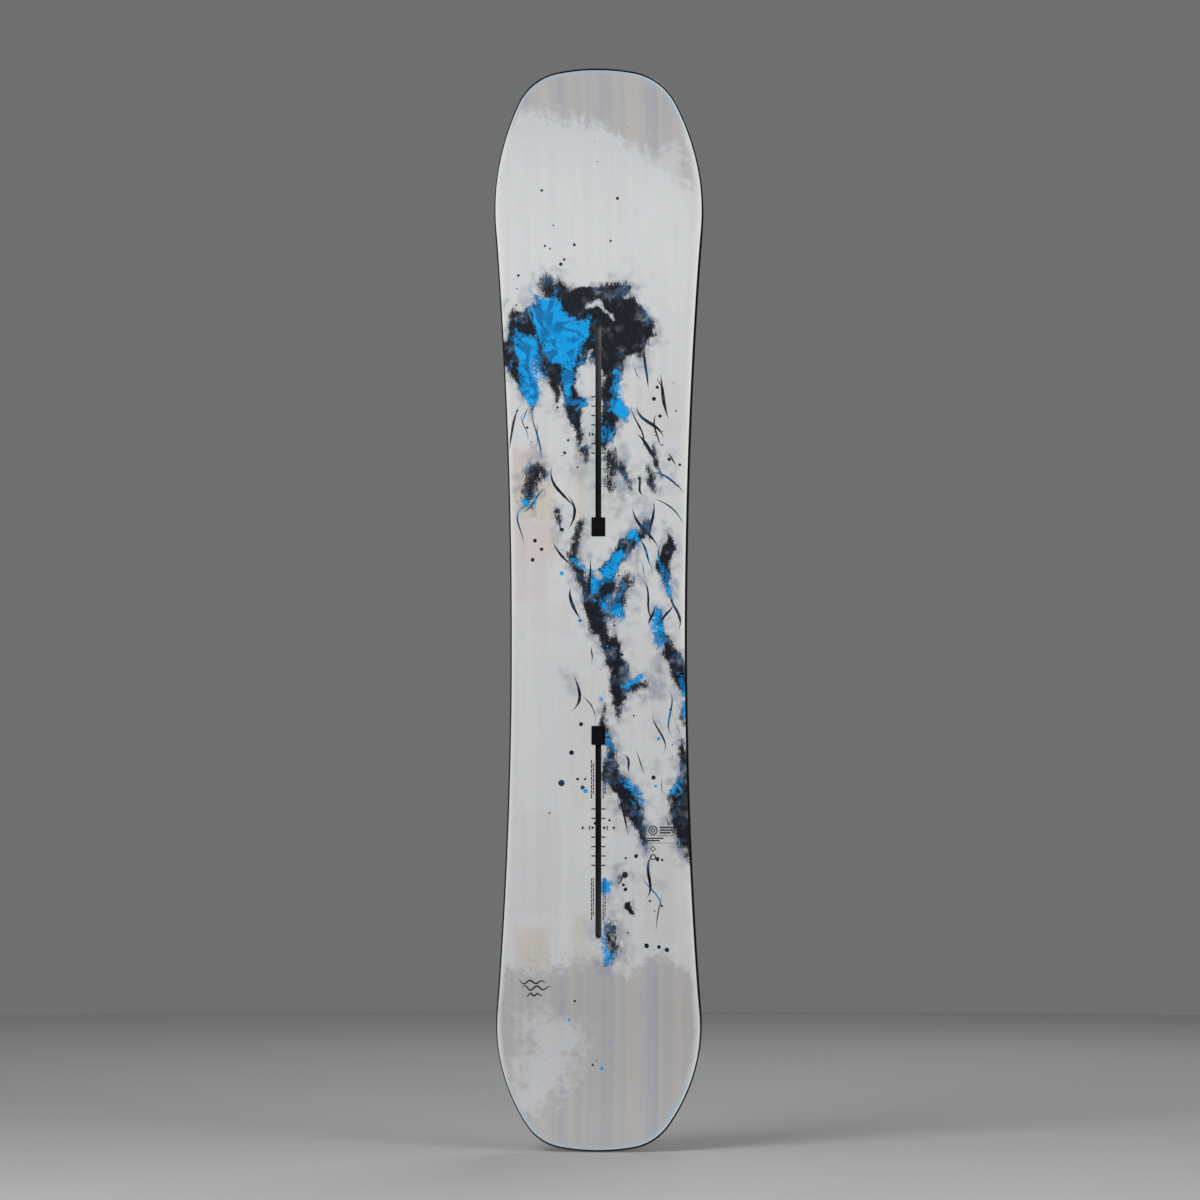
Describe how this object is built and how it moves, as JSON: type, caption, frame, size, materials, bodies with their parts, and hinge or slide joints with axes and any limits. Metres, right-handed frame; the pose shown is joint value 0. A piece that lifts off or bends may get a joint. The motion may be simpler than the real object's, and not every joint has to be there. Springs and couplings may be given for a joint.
{
  "type": "snowboard",
  "caption": "Directional snowboard with rounded nose and tail, slotted binding channels with pull-out plugs, steel edges and a laminated wood core.",
  "frame": {"origin": "lowest point of the tail, on the centre line, where a stand holds the board upright", "axes": "+Z runs from tail to nose; -Y is the way the topsheet faces and +Y the way the base faces; +X is the right-hand edge seen from in front of the topsheet with the nose up, the toe side for a regular-footed rider"},
  "size_m": [0.2834, 0.0555, 1.46],
  "materials": {
    "base": "sintered and stone ground, waxed",
    "edge_steel": "ground",
    "damping_rubber": "matte",
    "fiberglass": "black-tinted cured resin",
    "core_light": "planed",
    "core_dense": "planed",
    "sidewall": "milled and polished",
    "tip_filler": "milled",
    "topsheet": "semi-gloss clear coat over an abstract ink-wash print",
    "channel_rail": "moulded",
    "channel_plug": "fine moulded texture"
  },
  "bodies": {
    "board": {"base_running_surface": "base", "steel_edge_toe": "edge_steel", "edge_damping_foil_toe": "damping_rubber", "steel_edge_heel": "edge_steel", "edge_damping_foil_heel": "damping_rubber", "lower_fiberglass_laminate": "fiberglass", "core_stave_centre": "core_dense", "core_stave_toe_1": "core_light", "core_stave_toe_2": "core_dense", "core_stave_toe_3": "core_light", "core_stave_toe_outer": "core_dense", "core_stave_heel_1": "core_light", "core_stave_heel_2": "core_dense", "core_stave_heel_3": "core_light", "core_stave_heel_outer": "core_dense", "sidewall_toe": "sidewall", "sidewall_heel": "sidewall", "tail_tip_filler": "tip_filler", "nose_tip_filler": "tip_filler", "upper_fiberglass_laminate": "fiberglass", "topsheet": "topsheet", "front_channel_rail": "channel_rail", "rear_channel_rail": "channel_rail"},
    "front_plug": {"front_channel_plug": "channel_plug"},
    "rear_plug": {"rear_channel_plug": "channel_plug"}
  },
  "joints": [
    {"name": "front_plug_pull", "type": "slide", "parent": "board", "child": "front_plug", "axis": [0, -1, 0], "range_m": [0, 0.012]},
    {"name": "rear_plug_pull", "type": "slide", "parent": "board", "child": "rear_plug", "axis": [0, -1, 0], "range_m": [0, 0.012]}
  ]
}
